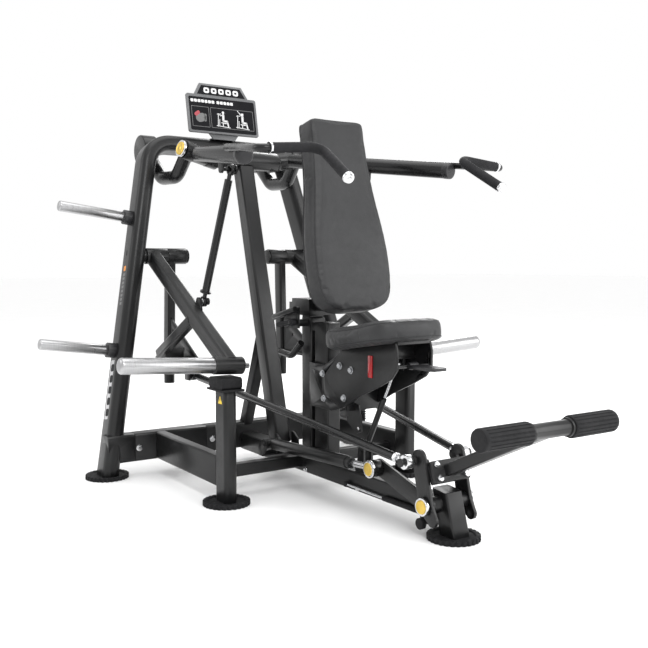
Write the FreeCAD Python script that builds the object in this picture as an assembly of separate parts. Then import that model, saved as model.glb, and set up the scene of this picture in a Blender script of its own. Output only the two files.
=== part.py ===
import FreeCAD, Part
import math
import os

# Plate-loaded shoulder press machine with a foot-assist bar.
# Design frame in millimetres: X across the machine, Y towards the rear, Z up from the floor.
# The user faces -Y, so the user's right side is at -X. Paired pieces are drawn on the right
# side and mirrored about the mid plane X = 0.
V = FreeCAD.Vector

# ---- driving dimensions ---------------------------------------------------------------
# Y is drawn from the front foot; this moves the origin to the centre of the footprint.
FOOTPRINT_CENTRE_Y = 622.485

# feet
FOOT_RADIUS = 75
FOOT_HEIGHT = 14
REAR_FOOT = V(-555, 1196, 0)
SIDE_FOOT = V(-361, 657, 0)
FRONT_FOOT = V(0, 0, 0)

# uprights: a line that leans inwards and rearwards with height, then a bend to the middle
UPRIGHT_LEAN_IN = 0.2132
UPRIGHT_LEAN_BACK = 0.1763
UPRIGHT_WIDE = 60
UPRIGHT_DEEP = 100
UPRIGHT_CORNER = 24
PORTAL_Z = 1214
PORTAL_BEND = 100

# base
BEAM_HALF_WIDE = 35
BEAM_LOW = 47
BEAM_HIGH = 107
CROSS_LOW = 50
CROSS_HIGH = 150
CROSS_FRONT_Y = 1166
CROSS_REAR_Y = 1226
POST_WIDE = 44
POST_DEEP = 76
POST_TOP = 363
SADDLE_TOP = 405

# centre upright: front face leans back
CENTRE_FOOT = V(0, 928, BEAM_HIGH)
CENTRE_TOP = V(0, 1194, 1118)
CENTRE_SIZE = 60

# press arm pivot: an inclined axis that starts at the end of the cross tube
PRESS_ORIGIN = V(-151, 1198, 1149)
PRESS_AXIS = V(-124, -15, 28)
PRESS_TUBE_HALF = 143
PRESS_TUBE_RADIUS = 35
PRESS_SHAFT_RADIUS = 16
BUSH_RADIUS = 20
PRESS_HUB_RADIUS = 32
PRESS_HUB_START = 4
PRESS_HUB_END = 104
ARM_RADIUS = 27
ARM_END = V(-393, 471, 1070)
U_RADIUS = 25
GRIP_RADIUS = 14
HANDLE_BAR_RADIUS = 11.5
HANDLE_ROOT = V(-404, 552, 1099)
HANDLE_CORNER = V(-451, 276, 1064)
HANDLE_BEND = V(-257, 279, 1081)
HANDLE_TIP = V(-278, 116, 984)

# weight arm and lift lever pivot
WEIGHT_PIVOT = V(0, 1330, 785)
WEIGHT_SHAFT_RADIUS = 18
SLEEVE_RADIUS = 30
WEIGHT_SLEEVE = (-346, -262.4)
LIFT_SLEEVE = (-261.6, -185)
HUB_CENTRE = V(-361, 657, 440)
HUB_RADIUS = 28
HORN_RADIUS = 25
HORN_TIP_X = -709
HORN_SLOPE = 0.06
STORE_RADIUS = 19
STORE_NECK = 16

# link rod between weight arm and press arm
LINK_LOW = V(-296, 940, 628)
LINK_HIGH = V(-262, 800, 1064)
LINK_RADIUS = 13
BALL_RADIUS = 12

# foot lever
FOOT_PIVOT = V(0, 34, 94)
FOOT_ROD_FRONT = V(-103, 80, 213)
FOOT_ROD_REAR = V(-250, 1125, 352)
FOOT_ROD_RADIUS = 13
FOOT_BAR = V(0, -332, 357)
FOOT_BAR_RADIUS = 20
FOOT_BAR_HALF = 226
ROLLER_RADIUS = 29
ROLLER_SPAN = (72, 232)
PLATE_INNER = 66
PLATE_OUTER = 76
DAMPER_FRONT = V(-84, 252, 158)
DAMPER_REAR = V(-84, 850, 128)
DAMPER_RADIUS = 20
DAMPER_CAP_X = -98

# seat
COLUMN_HALF_WIDE = 30
COLUMN_FRONT = 676
COLUMN_REAR = 736
COLUMN_TOP = 575
GUIDE_FRONT = 584
GUIDE_REAR = 660
SEAT_PLATE_INNER = 60
SEAT_PLATE_OUTER = 68
SEAT_TILT = 8.8
RELEASE_PIVOT = V(0, 182, 462)
LEVER_PIVOT = V(0, 660, 566)
GAS_LOW = V(0, 408, 176)
GAS_HIGH = V(0, 256, 458)

# clearances
RUN = 0.06
GAP = 0.5


# ---- helpers --------------------------------------------------------------------------
def box(x0, x1, y0, y1, z0, z1):
    return Part.makeBox(x1 - x0, y1 - y0, z1 - z0, V(x0, y0, z0))


def rod(start, end, radius):
    way = end - start
    return Part.makeCylinder(radius, way.Length, start, way)


def tube(start, end, radius, bore):
    way = end - start
    unit = V(way).normalize()
    core = Part.makeCylinder(bore, way.Length + 2, start - unit, way)
    return rod(start, end, radius).cut(core)


def crosswise(x0, x1, point, radius):
    return rod(V(x0, point.y, point.z), V(x1, point.y, point.z), radius)


def cross_bore(x0, x1, point, radius, bore):
    return tube(V(x0, point.y, point.z), V(x1, point.y, point.z), radius, bore)


def frame_face(wide, deep, corner, origin, along, side):
    """Rounded rectangle normal to along, its width measured along side."""
    along = V(along).normalize()
    across = along.cross(side).normalize()
    side = across.cross(along).normalize()
    half_w = wide / 2 - corner
    half_d = deep / 2 - corner
    arc = corner * (1 - math.sqrt(0.5))
    edges = []
    spots = []
    for sx, sy in ((1, 1), (-1, 1), (-1, -1), (1, -1)):
        first = V(sx * wide / 2, sy * half_d, 0)
        last = V(sx * half_w, sy * deep / 2, 0)
        middle = V(sx * (wide / 2 - arc), sy * (deep / 2 - arc), 0)
        spots.append((first, middle, last) if sx * sy > 0 else (last, middle, first))
    place = [[origin + side * p.x + across * p.y for p in spot] for spot in spots]
    for i, (first, middle, last) in enumerate(place):
        edges.append(Part.Arc(first, middle, last).toShape())
        following = place[(i + 1) % 4][0]
        if (following - last).Length > 0.01:
            edges.append(Part.LineSegment(last, following).toShape())
    return Part.Wire(edges)


def beam(start, end, wide, deep, corner, side):
    """Solid bar with a rounded rectangular section, width along side."""
    face = Part.Face(frame_face(wide, deep, corner, start, end - start, side))
    return face.extrude(end - start)


def bent_path(points, radius):
    """Straight runs joined by tangent arcs of one radius."""
    edges = []
    last = points[0]
    for before, corner, after in zip(points, points[1:], points[2:]):
        enter = V(before - corner).normalize()
        leave = V(after - corner).normalize()
        half_turn = enter.getAngle(leave) / 2
        setback = radius / math.tan(half_turn)
        bisector = (enter + leave).normalize()
        centre = corner + bisector * (radius / math.sin(half_turn))
        first = corner + enter * setback
        end = corner + leave * setback
        middle = centre - bisector * radius
        edges.append(Part.LineSegment(last, first).toShape())
        edges.append(Part.Arc(first, middle, end).toShape())
        last = end
    edges.append(Part.LineSegment(last, points[-1]).toShape())
    return Part.Wire(edges)


def bent_rod(points, bend, radius):
    path = bent_path(points, bend)
    way = points[1] - points[0]
    ring = Part.Wire(Part.makeCircle(radius, points[0], way))
    return path.makePipeShell([ring], True, False)


def flat(outline, x0, x1):
    """Plate normal to X from a closed outline of (y, z) points."""
    points = [V(x0, y, z) for y, z in outline]
    wire = Part.makePolygon(points + points[:1])
    return Part.Face(wire).extrude(V(x1 - x0, 0, 0))


def slab(outline, z0, z1):
    """Plate normal to Z from a closed outline of (x, y) points."""
    points = [V(x, y, z0) for x, y in outline]
    wire = Part.makePolygon(points + points[:1])
    return Part.Face(wire).extrude(V(0, 0, z1 - z0))


def strap(a, b, radius_a, radius_b, x0, x1):
    """Plate with round ends about the axes a and b, straight tangent sides."""
    across = V(0, b.y - a.y, b.z - a.z)
    unit = V(across).normalize()
    normal = V(0, -unit.z, unit.y)
    corners = [a + normal * radius_a, b + normal * radius_b,
               b - normal * radius_b, a - normal * radius_a]
    web = flat([(p.y, p.z) for p in corners], x0, x1)
    return fuse([web, crosswise(x0, x1, a, radius_a), crosswise(x0, x1, b, radius_b)])


def fuse(shapes):
    whole = shapes[0]
    for shape in shapes[1:]:
        whole = whole.fuse(shape)
    return whole.removeSplitter()


def rounded(shape, radius, keep):
    edges = [e for e in shape.Edges if keep(e)]
    return shape.makeFillet(radius, edges)


def long_edges(axis):
    def test(edge):
        way = edge.tangentAt(edge.FirstParameter)
        return isinstance(edge.Curve, Part.Line) and abs(way.dot(axis)) > 0.99
    return test


def mirror(shape):
    return shape.mirror(V(0, 0, 0), V(1, 0, 0))


def pair(shape):
    return Part.makeCompound([shape, mirror(shape)])


def group(shapes):
    return Part.makeCompound(shapes)


def export(name, shape):
    moved = shape.copy()
    moved.translate(V(0, -FOOTPRINT_CENTRE_Y, 0))
    for solid in moved.Solids:
        if not solid.isValid() or solid.Volume <= 0:
            raise ValueError("bad solid in " + name)
    if not moved.Solids:
        raise ValueError("no solid in " + name)
    out = moved if len(moved.Solids) > 1 else moved.Solids[0]
    out.exportStep("parts/" + name + ".step")
    print(name, len(moved.Solids), round(sum(s.Volume for s in moved.Solids) / 1000))


def export_both(name, shape):
    export(name + "_right", shape)
    export(name + "_left", mirror(shape))


def upright_point(z):
    return V(REAR_FOOT.x + UPRIGHT_LEAN_IN * z, REAR_FOOT.y + UPRIGHT_LEAN_BACK * z, z)


def press_point(along):
    return PRESS_ORIGIN + V(PRESS_AXIS).normalize() * along


def arm_point(fraction):
    return press_point(50) + (ARM_END - press_point(50)) * fraction


X_AXIS = V(1, 0, 0)


# ---- base -----------------------------------------------------------------------------
def foot_disc(centre):
    rim = Part.makeCylinder(FOOT_RADIUS, FOOT_HEIGHT, centre)
    hollow = Part.makeCone(58, 62, 5, centre + V(0, 0, FOOT_HEIGHT - 4))
    disc = rim.cut(hollow)
    teeth = 28
    notch = Part.makeCylinder(4.4, FOOT_HEIGHT, centre + V(FOOT_RADIUS + 1, 0, 0))
    for i in range(teeth):
        cutter = notch.copy()
        cutter.rotate(centre, V(0, 0, 1), 360 * i / teeth)
        disc = disc.cut(cutter)
    return disc


def base():
    right_feet = [foot_disc(REAR_FOOT), foot_disc(SIDE_FOOT)]
    left_feet = [mirror(disc) for disc in right_feet]
    export("foot_discs", group(right_feet + left_feet + [foot_disc(FRONT_FOOT)]))

    beam_end = CROSS_FRONT_Y
    main = box(-BEAM_HALF_WIDE, BEAM_HALF_WIDE, 60, beam_end, BEAM_LOW, BEAM_HIGH)
    main = rounded(main, 7, long_edges(V(0, 1, 0)))
    gusset = [(860, 82), (860, 128), (892, 150), (905, 150), (905, 82)]
    plates = [flat(gusset, -38, -32), flat(gusset, 32, 38)]
    gas_ears = [strap(GAS_LOW, V(0, 412, 110), 14, 18, x, x + 8) for x in (-19, 11)]
    gas_foot = box(-24, 24, 390, 430, BEAM_HIGH - 1, 125)
    gas_pin = crosswise(-22, 22, GAS_LOW, 5)
    rear_ear = strap(DAMPER_REAR, V(0, 872, 104), 18, 20, -114, -107)
    inner_ear = strap(DAMPER_REAR, V(0, 872, 104), 18, 20, -61, -54)
    ear_bridge = box(-114, -34, 858, 886, 84, 102)
    ear_pin = crosswise(-118, -51, DAMPER_REAR, 8)
    export("main_beam", fuse([main] + plates + gas_ears
                             + [gas_foot, gas_pin, rear_ear, inner_ear, ear_bridge, ear_pin]))

    middle = box(-178, 178, CROSS_FRONT_Y, CROSS_REAR_Y, CROSS_LOW, CROSS_HIGH)
    outer = box(-459.5, -179, CROSS_FRONT_Y, CROSS_REAR_Y, CROSS_LOW, CROSS_HIGH)
    stub = box(-560, -461, CROSS_FRONT_Y, CROSS_REAR_Y, CROSS_LOW, CROSS_HIGH)
    along = long_edges(X_AXIS)
    middle, outer, stub = [rounded(piece, 9, along) for piece in (middle, outer, stub)]
    leg = upright_bar(V(-555, 1196, 0), upright_point(400))
    stub = stub.cut(leg)
    stub = max(stub.Solids, key=lambda piece: piece.BoundBox.XMax)
    export("rear_crossbeam", group([middle, outer, mirror(outer), stub, mirror(stub)]))

    rail = beam(V(-361, 690, 101), V(-361, CROSS_FRONT_Y, 101), 40, 98, 8, X_AXIS)
    export("side_rails", pair(rail))
    strut = beam(V(-340.5, 742, 83), V(-BEAM_HALF_WIDE - 0.2, 742, 83), 40, 42, 8, V(0, 1, 0))
    export("cross_struts", pair(strut))

    post_foot = SIDE_FOOT + V(0, 0, FOOT_HEIGHT - 4)
    post = beam(post_foot, V(SIDE_FOOT.x, SIDE_FOOT.y, POST_TOP), POST_WIDE, POST_DEEP, 15, X_AXIS)
    post = post.cut(rail)
    export("side_posts", pair(post))
    shelf = box(-400, -322, 604, 710, POST_TOP, POST_TOP + 6)
    pad = box(-396, -326, 612, 702, POST_TOP + 6, SADDLE_TOP)
    pad = rounded(pad, 10, long_edges(X_AXIS))
    trough = crosswise(-420, -300, V(0, 657, HUB_CENTRE.z), HUB_RADIUS + 2.5)
    export("post_saddles", pair(fuse([shelf, pad]).cut(trough)))


def front_post():
    low = [(-35, FOOT_HEIGHT - 4), (27, FOOT_HEIGHT - 4), (59, 136), (0, 130)]
    shell = flat(low, -30, 30)
    shell = rounded(shell, 6, lambda e: isinstance(e.Curve, Part.Line)
                    and abs(e.tangentAt(e.FirstParameter).x) < 0.01
                    and abs(e.tangentAt(e.FirstParameter).z) > 0.9)
    boss = crosswise(-57.5, 65.5, FOOT_PIVOT, 24)
    beam_nose = box(-BEAM_HALF_WIDE, BEAM_HALF_WIDE, 60, 300, BEAM_LOW, BEAM_HIGH)
    shaft = crosswise(-70, 70, FOOT_PIVOT, 12)
    whole = fuse([shell, boss]).cut(beam_nose).cut(shaft)
    export("front_post", whole)


# ---- rear portal and centre frame -----------------------------------------------------
def upright_bar(start, end):
    return beam(start, end, UPRIGHT_WIDE, UPRIGHT_DEEP, UPRIGHT_CORNER, X_AXIS)


def upright():
    foot = upright_point(-30)
    corner = upright_point(PORTAL_Z)
    middle = V(0, corner.y, PORTAL_Z)
    path = bent_path([foot, corner, middle], PORTAL_BEND)
    section = frame_face(UPRIGHT_WIDE, UPRIGHT_DEEP, UPRIGHT_CORNER, foot, corner - foot, X_AXIS)
    solid = path.makePipeShell([section], True, False)
    floor = box(-700, 0, 1000, 1500, -200, FOOT_HEIGHT - 4)
    return solid.cut(floor)


def horn_seat(z, length):
    """Start, end and collar end of a storage horn that leaves the upright at height z."""
    spot = upright_point(z)
    way = V(-1, 0, 0.137).normalize()
    start = spot + way * (UPRIGHT_WIDE / 2 - 4)
    return start, start + way * length, way


def horns(shape):
    bars = []
    collars = []
    for z in (438, 922):
        start, tip, way = horn_seat(z, 278)
        neck = rod(start + way * 2, start + way * 36, STORE_NECK)
        bar = rod(start + way * 34.2, tip, STORE_RADIUS)
        bar = rounded(bar, 7, lambda e: (e.CenterOfMass - tip).Length < 3)
        bars.append(fuse([neck, bar]).cut(shape))
        collar = tube(start, start + way * 34, 27, STORE_NECK + 0.2)
        collars.append(max(collar.cut(shape).Solids, key=lambda s: s.Volume))
    return bars, collars


def portal():
    right = upright()
    export_both("upright", right)
    bars, collars = horns(right)
    export("storage_horns", group(bars + [mirror(b) for b in bars]))
    export("horn_collars", group(collars + [mirror(c) for c in collars]))
    return right


def centre_frame(right):
    centre = beam(CENTRE_FOOT, CENTRE_TOP, CENTRE_SIZE, CENTRE_SIZE, 8, X_AXIS)
    keep = box(-50, 50, 800, 1400, BEAM_HIGH + 0.2, 1400)
    cross = crosswise(-PRESS_TUBE_HALF, PRESS_TUBE_HALF, PRESS_ORIGIN, PRESS_TUBE_RADIUS)
    centre = centre.common(keep).cut(cross)
    export("centre_upright", max(centre.Solids, key=lambda s: s.Volume))

    tie = beam(V(0, 1198, 1168), V(0, 1375, 1205), 80, 34, 6, X_AXIS)
    tie = tie.cut(cross).cut(right).cut(mirror(right))
    tie = max(tie.Solids, key=lambda s: s.BoundBox.XLength * s.BoundBox.YLength)
    export("press_cross_tube", fuse([cross, tie]))

    brace = beam(V(0, 1190, 130), V(0, 1040, 520), 40, 40, 6, X_AXIS)
    crossbeam = box(-178, 178, CROSS_FRONT_Y, CROSS_REAR_Y, 0, CROSS_HIGH + 0.2)
    brace = brace.cut(centre).cut(crossbeam)
    export("rear_brace", max(brace.Solids, key=lambda s: s.Volume))


def pivots(right):
    inner = V(LIFT_SLEEVE[1] + GAP, 0, 0).x
    weight_shaft = crosswise(-372, inner + 6, WEIGHT_PIVOT, WEIGHT_SHAFT_RADIUS)
    boss = cross_bore(-372, WEIGHT_SLEEVE[0] - GAP, WEIGHT_PIVOT, 26, WEIGHT_SHAFT_RADIUS)
    end_cap = crosswise(inner, inner + 7, WEIGHT_PIVOT, 27)
    weight_shaft = fuse([weight_shaft, boss, end_cap]).cut(right)
    weight_shaft = max(weight_shaft.Solids, key=lambda s: s.Volume)
    press_shaft = rod(press_point(-40), press_point(PRESS_HUB_END + 4), PRESS_SHAFT_RADIUS)
    cross = crosswise(-PRESS_TUBE_HALF, PRESS_TUBE_HALF, PRESS_ORIGIN, PRESS_TUBE_RADIUS)
    shoulder = rod(press_point(-40), press_point(PRESS_HUB_START - GAP), 33)
    press_shaft = fuse([press_shaft, shoulder]).cut(cross)
    press_shaft = max(press_shaft.Solids, key=lambda s: s.BoundBox.XLength)
    foot_shaft = crosswise(-80, 80, FOOT_PIVOT, 12)
    export("pivot_shafts", group([weight_shaft, mirror(weight_shaft),
                                  press_shaft, mirror(press_shaft), foot_shaft]))

    cap_start = PRESS_HUB_END + 4
    ring = tube(press_point(cap_start), press_point(cap_start + 10), 31, 24)
    cap = rod(press_point(cap_start), press_point(cap_start + 13), 23.9)
    ring_foot = cross_bore(-90, -80, FOOT_PIVOT, 25, 19)
    cap_foot = crosswise(-92, -80, FOOT_PIVOT, 18.9)
    export("bearing_rings", group([ring, mirror(ring), ring_foot, mirror(ring_foot)]))
    export("bearing_caps", group([cap, mirror(cap), cap_foot, mirror(cap_foot)]))


def fasteners():
    bolts = []
    for x in (-445, -155):
        bolts.append(rod(V(x, CROSS_FRONT_Y, 99), V(x, CROSS_FRONT_Y - 9, 99), 10))
        bolts.append(rod(V(x, CROSS_REAR_Y, 99), V(x, CROSS_REAR_Y + 9, 99), 10))
    for y in (400, 700):
        bolts.append(crosswise(-BEAM_HALF_WIDE - 7, -BEAM_HALF_WIDE, V(0, y, 58), 7))
    export("frame_bolts", group(bolts + [mirror(b) for b in bolts]))

    thin = rod(V(-46, 446, 64), V(-46, 250, 62.2), 4)
    thick = rod(V(-46, 256, 62), V(-46, 78, 62), 8)
    tail = box(-52, -BEAM_HALF_WIDE - 0.2, 440, 452, 56, 72)
    nose = box(-50, -BEAM_HALF_WIDE - 0.2, 66, 84, 30, 56)
    disc = crosswise(-62, -49, V(0, 74, 33), 16)
    export("lever_stop_buffers", pair(fuse([thin, thick, tail, nose, disc])))


# ---- sign -----------------------------------------------------------------------------
def sign(right):
    lean = math.degrees(math.atan2(29, 152))
    panel = box(-153, 153, 0, 8, 0, 154)
    panel = rounded(panel, 8, long_edges(V(0, 1, 0)))
    header = [V(-120, 0, 150), V(-92, 0, 200), V(92, 0, 200), V(120, 0, 150)]
    top = Part.Face(Part.makePolygon(header + header[:1])).extrude(V(0, 8, 0))
    board = fuse([panel, top])
    board.rotate(V(0, 0, 0), X_AXIS, -lean)
    board.translate(V(0, 1344, 1265))
    export("sign_panel", board)

    ears = [V(-78, 0, 60), V(-78, 0, 20), V(-48, 0, -20), V(48, 0, -20), V(78, 0, 20), V(78, 0, 60)]
    web = Part.Face(Part.makePolygon(ears + ears[:1])).extrude(V(0, 5, 0))
    web.translate(V(0, 8.2, 0))
    web.rotate(V(0, 0, 0), X_AXIS, -lean)
    web.translate(V(0, 1344, 1265))
    flange = box(-48, 48, 1349, 1395, PORTAL_Z + 30, PORTAL_Z + 35)
    studs = [rod(V(x, 1372, PORTAL_Z + 34), V(x, 1372, PORTAL_Z + 41), 7) for x in (-32, 32)]
    bracket = fuse([web, flange] + studs).cut(right).cut(mirror(right))
    export("sign_bracket", max(bracket.Solids, key=lambda s: s.Volume))


# ---- foot lever -----------------------------------------------------------------------
def foot_lever():
    top = V(0, 63, 222)
    near = fuse([strap(FOOT_PIVOT, top, 27, 25, -PLATE_OUTER, -PLATE_INNER),
                 strap(FOOT_PIVOT, V(0, 6, 60), 27, 18, -PLATE_OUTER, -PLATE_INNER)])
    rear_arm = strap(FOOT_PIVOT, DAMPER_FRONT, 27, 26, -PLATE_INNER, -PLATE_INNER + 8)
    pin = crosswise(DAMPER_CAP_X, -PLATE_INNER, DAMPER_FRONT, 8)
    stud = crosswise(-124, -PLATE_INNER, FOOT_ROD_FRONT, 7)
    head = crosswise(-129, -123, FOOT_ROD_FRONT, 12)
    boss = crosswise(-84, -PLATE_INNER, FOOT_ROD_FRONT, 13)
    ear = strap(FOOT_ROD_FRONT, V(0, 60, 205), 15, 18, -PLATE_OUTER, -PLATE_INNER)
    plain = fuse([near, stud, head, boss, ear])
    driven = fuse([plain, rear_arm, pin])
    bore = crosswise(-200, 200, FOOT_PIVOT, 12 + RUN)
    export("foot_lever_plates", group([driven.cut(bore), mirror(plain).cut(bore)]))

    centre = V(0, 18, 189)
    way = (FOOT_BAR - centre).normalize()
    up = V(0, -way.z, way.y)
    back = beam(centre - way * 16, centre - way * 8, 2 * PLATE_INNER - 0.4, 62, 2, X_AXIS)
    cheeks = [box(s * 56 - 5, s * 56 + 5, 14, 58, 169, 219) for s in (-1, 1)]
    cheeks = [c.cut(beam(centre - way * 14, centre + way * 60, 300, 300, 2, X_AXIS)) for c in cheeks]
    flange = beam(centre - way * 8, centre + way * 4, 128, 62, 6, X_AXIS)
    stem = beam(centre + way * 4, FOOT_BAR - way * 10, 44, 34, 8, X_AXIS)
    bar = crosswise(-FOOT_BAR_HALF, FOOT_BAR_HALF, FOOT_BAR, FOOT_BAR_RADIUS)
    collars = [crosswise(x, x + 8, FOOT_BAR, 24) for x in (-ROLLER_SPAN[0] + 1, ROLLER_SPAN[0] - 9)]
    export("foot_bar_stem", fuse([back, flange, stem, bar] + cheeks + collars))

    bolts = []
    for sx in (-1, 1):
        for sz in (-1, 1):
            spot = centre + way * 4 + V(sx * 48, 0, 0) + up * (sz * 19)
            bolts.append(rod(spot, spot + way * 9, 8.5))
    export("flange_bolts", group(bolts))

    ring = cross_bore(DAMPER_CAP_X - 8, DAMPER_CAP_X - 1, DAMPER_FRONT, 26, 20)
    cap = crosswise(DAMPER_CAP_X - 10, DAMPER_CAP_X - 1.1, DAMPER_FRONT, 19.9)
    keeper = crosswise(DAMPER_CAP_X - 1, DAMPER_CAP_X, DAMPER_FRONT, 24)
    export("damper_pin_cap", group([fuse([ring, keeper]), cap]))

    for side_name, sign in (("right", -1), ("left", 1)):
        x0, x1 = sorted((sign * ROLLER_SPAN[0], sign * ROLLER_SPAN[1]))
        sleeve = cross_bore(x0, x1, FOOT_BAR, ROLLER_RADIUS, FOOT_BAR_RADIUS + RUN)
        cap_x = sorted((sign * (FOOT_BAR_HALF + GAP), sign * ROLLER_SPAN[1]))
        disc = crosswise(cap_x[0], cap_x[1], FOOT_BAR, ROLLER_RADIUS)
        roller = rounded(fuse([sleeve, disc]), 4, lambda e: abs(abs(e.CenterOfMass.x)
                         - ROLLER_SPAN[1]) < 0.1 and e.Length > 170)
        export("foot_roller_" + side_name, roller)


def foot_rod():
    way = (FOOT_ROD_REAR - FOOT_ROD_FRONT).normalize()
    body = rod(FOOT_ROD_FRONT + way * 44, FOOT_ROD_REAR - way * 40, FOOT_ROD_RADIUS)
    neck = rod(FOOT_ROD_FRONT + way * 16, FOOT_ROD_REAR - way * 12, 8)
    nut = Part.makePolygon([FOOT_ROD_FRONT + way * 32 + hex_corner(way, 15, i) for i in range(7)])
    nut = Part.Face(nut).extrude(way * 12)
    front_eye = cross_bore(FOOT_ROD_FRONT.x - 12, FOOT_ROD_FRONT.x + 12, FOOT_ROD_FRONT, 20, 7 + RUN)
    rear_eye = cross_bore(FOOT_ROD_REAR.x - 8, FOOT_ROD_REAR.x + 8, FOOT_ROD_REAR, 19, 12.5)
    solid = fuse([body, neck, nut, front_eye, rear_eye])
    solid = solid.cut(crosswise(-400, 0, FOOT_ROD_FRONT, 7 + RUN))
    solid = solid.cut(crosswise(-400, 0, FOOT_ROD_REAR, 12.5))
    export_both("foot_rod", solid)


def hex_corner(way, radius, i):
    first = way.cross(V(0, 0, 1)).normalize()
    second = way.cross(first).normalize()
    turn = math.radians(60 * i)
    return first * (radius * math.cos(turn)) + second * (radius * math.sin(turn))


def damper():
    way = (DAMPER_FRONT - DAMPER_REAR).normalize()
    eye = cross_bore(-104, -64, DAMPER_REAR, 17, 8 + RUN)
    barrel = tube(DAMPER_REAR + way * 40, DAMPER_REAR + way * 468, DAMPER_RADIUS, 11 + RUN)
    plug = rod(DAMPER_REAR + way * 26, DAMPER_REAR + way * 52, DAMPER_RADIUS)
    link = rod(DAMPER_REAR + way * 10, DAMPER_REAR + way * 30, 12)
    gland = tube(DAMPER_REAR + way * 462, DAMPER_REAR + way * 484, 17, 11 + RUN)
    body = fuse([barrel, plug, link, gland, eye]).cut(crosswise(-200, 0, DAMPER_REAR, 8 + RUN))
    export("damper_body", body)
    piston = rod(DAMPER_REAR + way * 288, DAMPER_FRONT - way * 22, 11)
    front_eye = cross_bore(-95.5, -PLATE_INNER - 1, DAMPER_FRONT, 25, 17)
    collar = rod(DAMPER_FRONT - way * 34, DAMPER_FRONT - way * 20, 13)
    rod_end = fuse([piston, collar, front_eye]).cut(crosswise(-200, 0, DAMPER_FRONT, 17))
    export("damper_rod", rod_end)


# ---- weight side ----------------------------------------------------------------------
def lift_lever():
    sleeve = cross_bore(LIFT_SLEEVE[0], LIFT_SLEEVE[1], WEIGHT_PIVOT, SLEEVE_RADIUS,
                        WEIGHT_SHAFT_RADIUS + RUN)
    leg = beam(V(-244, 1334, 790), V(-252, 1336, 368), 30, 48, 8, X_AXIS)
    web = flat([(1330, 560), (1330, 402), (1080, 402), (1080, 416)], -256, -248)
    for y, z in ((1285, 500), (1240, 468), (1195, 440)):
        web = web.cut(crosswise(-300, -200, V(0, y, z), 7))
    shelf = box(-304, -214, 1070, 1345, 396, 406)
    lug = box(-276, -270, 1105, 1145, 335, 396)
    pin = crosswise(-276, -234, FOOT_ROD_REAR, 7)
    head = crosswise(-238, -232, FOOT_ROD_REAR, 17)
    post = box(-301, -279, 1190, 1212, 405, 428)
    knob = rod(V(-290, 1192, 424), V(-290, 1168, 424), 11)
    tail = rod(V(-252, 1336, 372), V(-252, 1336, 300), 20)
    whole = fuse([sleeve, leg, web, shelf, lug, pin, head, post, knob, tail])
    whole = whole.cut(crosswise(-400, 0, WEIGHT_PIVOT, WEIGHT_SHAFT_RADIUS + RUN))
    export_both("lift_lever", whole)


def weight_arm():
    sleeve = cross_bore(WEIGHT_SLEEVE[0], WEIGHT_SLEEVE[1], WEIGHT_PIVOT, SLEEVE_RADIUS,
                        WEIGHT_SHAFT_RADIUS + RUN)
    diagonal = beam(V(-314, 1330, 782), V(-345, 657, 440), 44, 58, 12, X_AXIS)
    way = V(-1, 0, HORN_SLOPE).normalize()
    hub = rod(HUB_CENTRE + way * -59, HUB_CENTRE + way * 44, HUB_RADIUS)
    hub = rounded(hub, 4, lambda e: e.Length > 150)
    brace = beam(V(-340, 940, 566), V(-342, 1208, 428), 34, 36, 9, X_AXIS)
    tab = box(-345, -276, 1150, 1167, 411, 452)
    lug = strap(LINK_LOW, V(0, 940, 600), 15, 20, -318, -310)
    stud = crosswise(-316, -279, LINK_LOW, 7)
    nut = crosswise(-284, -278, LINK_LOW, 12)
    core = crosswise(-400, 0, WEIGHT_PIVOT, WEIGHT_SHAFT_RADIUS + RUN)
    keep_out = crosswise(LIFT_SLEEVE[0] - 0.8, 0, WEIGHT_PIVOT, SLEEVE_RADIUS + 40)
    whole = fuse([sleeve, diagonal, hub, brace, tab, lug, stud, nut]).cut(core).cut(keep_out)
    export_both("weight_arm", whole)

    start = HUB_CENTRE + way * 44.2
    tip = HUB_CENTRE + way * (HUB_CENTRE.x - HORN_TIP_X)
    horn = rod(start, tip, HORN_RADIUS)
    horn = rounded(horn, 12, lambda e: (e.CenterOfMass - tip).Length < 3)
    inner = HUB_CENTRE - way * 59.2
    bolt = rod(inner, inner - way * 22, 9)
    washer = rod(inner, inner - way * 4, 16)
    export_both("loading_horn", group([horn, fuse([bolt, washer])]))


def link():
    ball = Part.makeSphere(BALL_RADIUS, LINK_LOW, X_AXIS, -48.6, 48.6)
    ball = ball.cut(crosswise(-400, 0, LINK_LOW, 7.6))
    export_both("link_ball", ball)

    way = (LINK_HIGH - LINK_LOW).normalize()
    low_eye = crosswise(LINK_LOW.x - 6, LINK_LOW.x + 6, LINK_LOW, 18)
    low_neck = rod(LINK_LOW + way * 15, LINK_LOW + way * 40, 7)
    collar = rod(LINK_LOW + way * 32, LINK_LOW + way * 38, 19)
    body = rod(LINK_LOW + way * 38, LINK_HIGH - way * 34, LINK_RADIUS)
    high_neck = rod(LINK_HIGH - way * 40, LINK_HIGH - way * 14, 7)
    high_eye = rod(LINK_HIGH - V(6, 0, 0), LINK_HIGH + V(6, 0, 0), 19)
    bar = fuse([low_eye, low_neck, collar, body, high_neck, high_eye])
    bar = bar.cut(crosswise(-400, 0, LINK_HIGH, 12))
    bar = bar.cut(Part.makeSphere(BALL_RADIUS + RUN, LINK_LOW, X_AXIS))
    export_both("link_rod", bar)


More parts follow.
